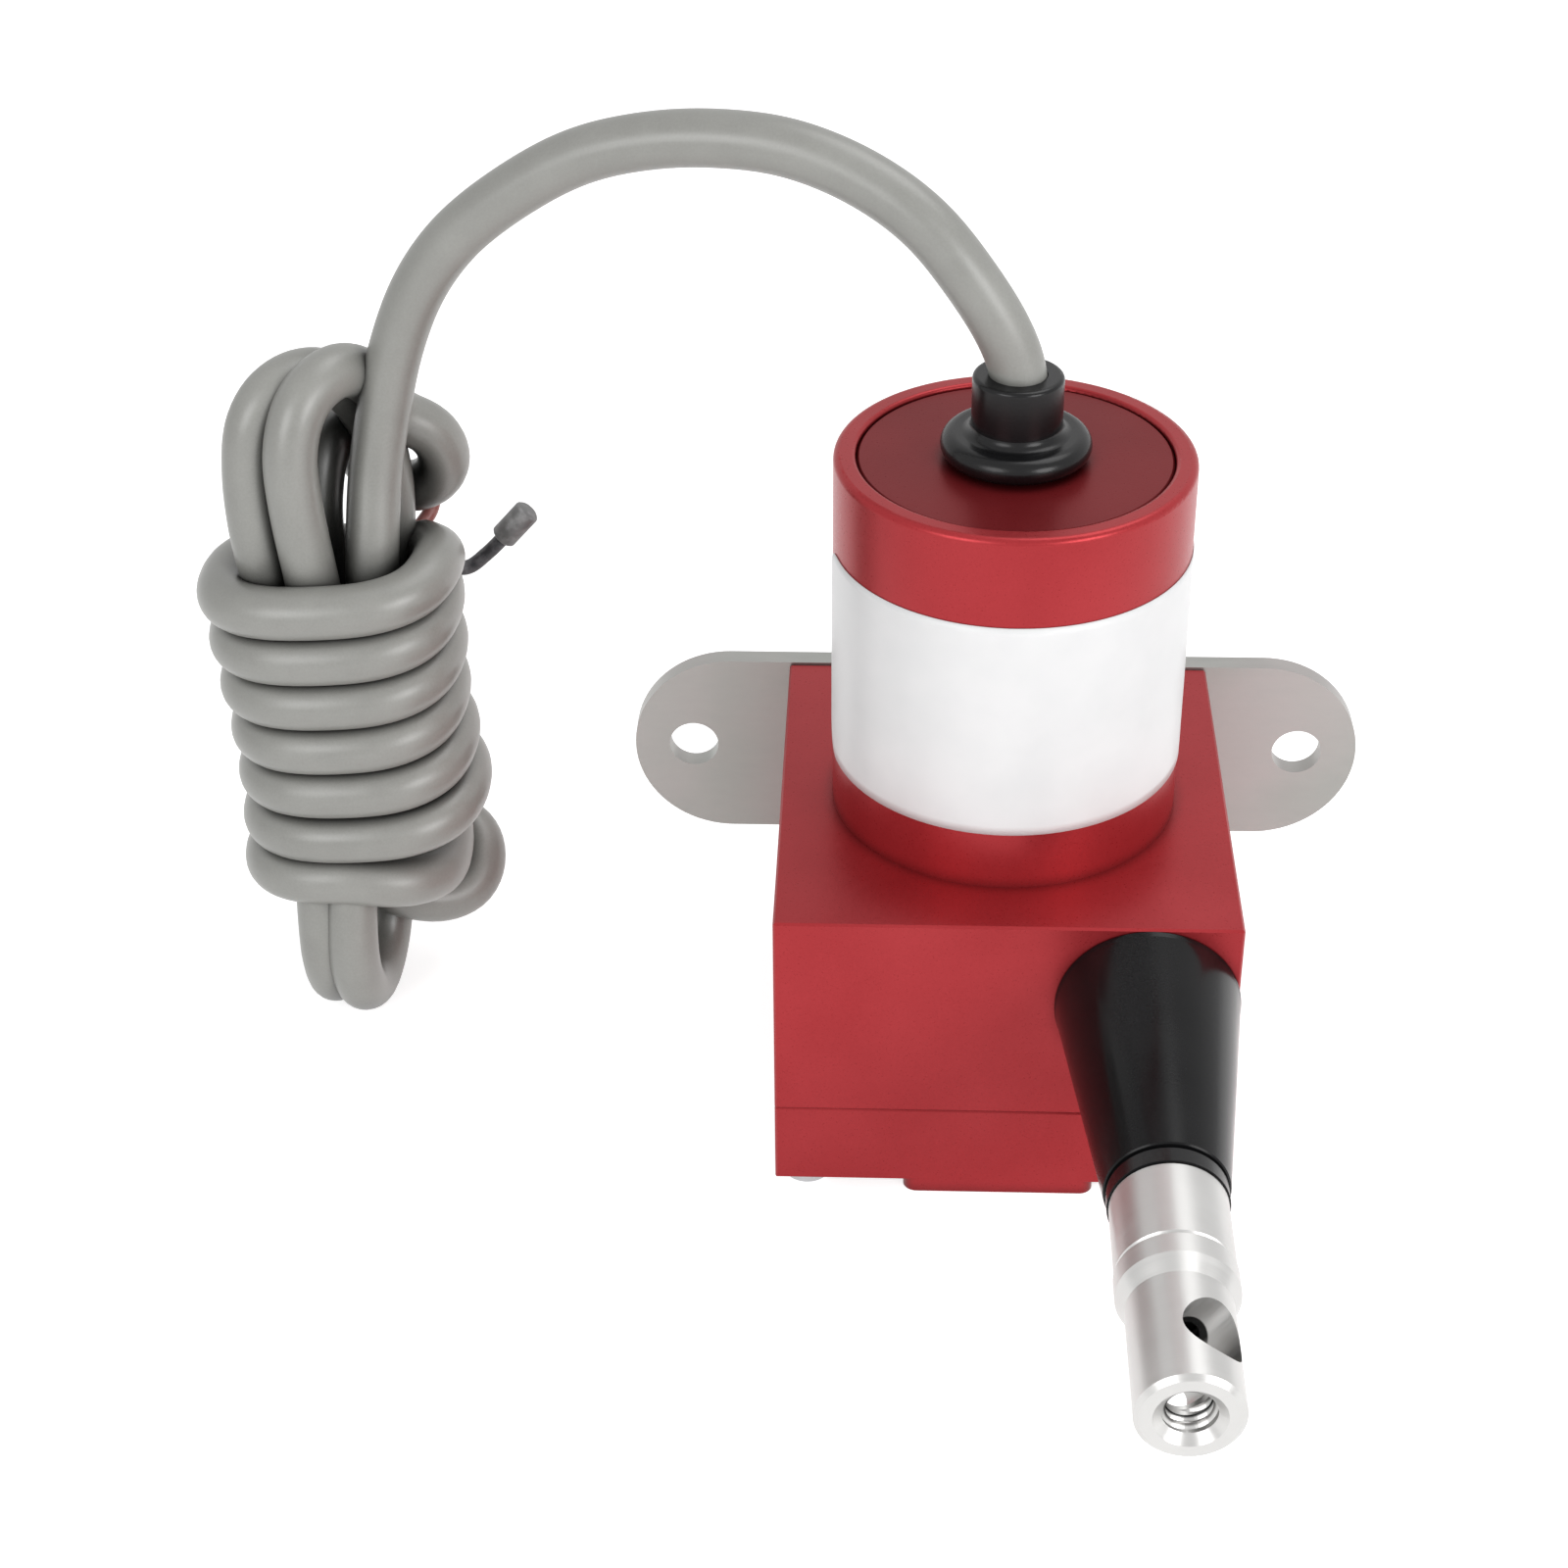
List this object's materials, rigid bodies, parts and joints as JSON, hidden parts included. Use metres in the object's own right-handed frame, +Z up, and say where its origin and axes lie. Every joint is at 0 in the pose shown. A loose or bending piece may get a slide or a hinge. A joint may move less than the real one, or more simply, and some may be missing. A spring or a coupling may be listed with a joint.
{
  "type": "draw wire encoder",
  "caption": "Draw wire encoder: wire drum in a square red block, potentiometer can on top, rear mounting plate, black outlet cone, swivelling steel wire end, coiled grey cable.",
  "frame": {"origin": "middle of the line between the two mounting holes, on the back face of the mounting plate", "axes": "+Y out of the plate's back face towards the machine, +Z up along the can towards the cable, +X to the right seen from the wire outlet; the wire is pulled out towards -Y"},
  "size_m": [0.1084, 0.0932, 0.0906],
  "materials": {
    "red_anodised": "satin",
    "zinc_steel": "matte",
    "steel": "satin",
    "polished_steel": "polished",
    "turned_aluminium": "satin",
    "black_rubber": "matte",
    "black_plastic": "gloss",
    "white_label": "satin",
    "bronze": "satin",
    "felt": "matte",
    "spring_steel": "satin",
    "blue_plastic": "gloss",
    "brass_pins": "satin",
    "lead_insulation": "satin",
    "grey_jacket": "satin",
    "conductor_insulation": "satin"
  },
  "bodies": {
    "housing": {"main_body": "red_anodised", "spring_housing": "red_anodised", "bearing_plate": "turned_aluminium", "mounting_plate": "zinc_steel", "plate_screws": "steel", "cover_screws": "steel", "housing_seal": "black_rubber", "sensor_can": "red_anodised", "can_seal": "black_rubber", "can_cap": "red_anodised", "cable_grommet": "black_rubber", "label": "white_label", "outlet_cone": "black_plastic", "guide_bush": "bronze", "wire_wiper": "felt", "bearing_outer_rings": "polished_steel", "power_spring": "spring_steel", "pot_bracket": "turned_aluminium", "bracket_studs": "steel", "pot_case": "blue_plastic", "pot_nut": "polished_steel", "pot_terminals": "brass_pins", "lead_wires": "lead_insulation", "cable": "grey_jacket", "cable_hank": "grey_jacket", "conductor_ends": "conductor_insulation", "ball_sets": "polished_steel", "ball_cages": "bronze"},
    "drum": {"drum": "turned_aluminium", "drum_shaft": "steel", "bearing_inner_rings": "polished_steel", "drum_screw": "spring_steel", "shaft_coupling": "turned_aluminium", "coupling_screws": "spring_steel", "pot_shaft": "steel", "wire_winding": "steel"},
    "wire_end": {"pull_wire": "steel", "bumper": "black_rubber", "ferrule": "polished_steel", "retaining_ring": "spring_steel"},
    "head": {"swivel_head": "polished_steel"}
  },
  "joints": [
    {"name": "drum_spin", "type": "hinge", "parent": "housing", "child": "drum", "pos_m": [0, -0.02325, 0], "axis": [0, 0, -1], "range_deg": [0, 2348], "stiffness_Nm_per_rad": 0.00036, "springref_deg": -4774.46, "deforming": ["power_spring", "wire_winding"]},
    {"name": "wire_pull", "type": "slide", "parent": "housing", "child": "wire_end", "axis": [0, -1, 0], "range_m": [0, 0.5], "deforming": ["pull_wire"]},
    {"name": "head_swivel", "type": "hinge", "parent": "wire_end", "child": "head", "pos_m": [0.0122, -0.0784, 0.0012], "axis": [0, -1, 0], "continuous": true}
  ],
  "couplings": [
    {"joint": "wire_pull", "follows": "drum_spin", "m_per_rad": 0.0122}
  ]
}
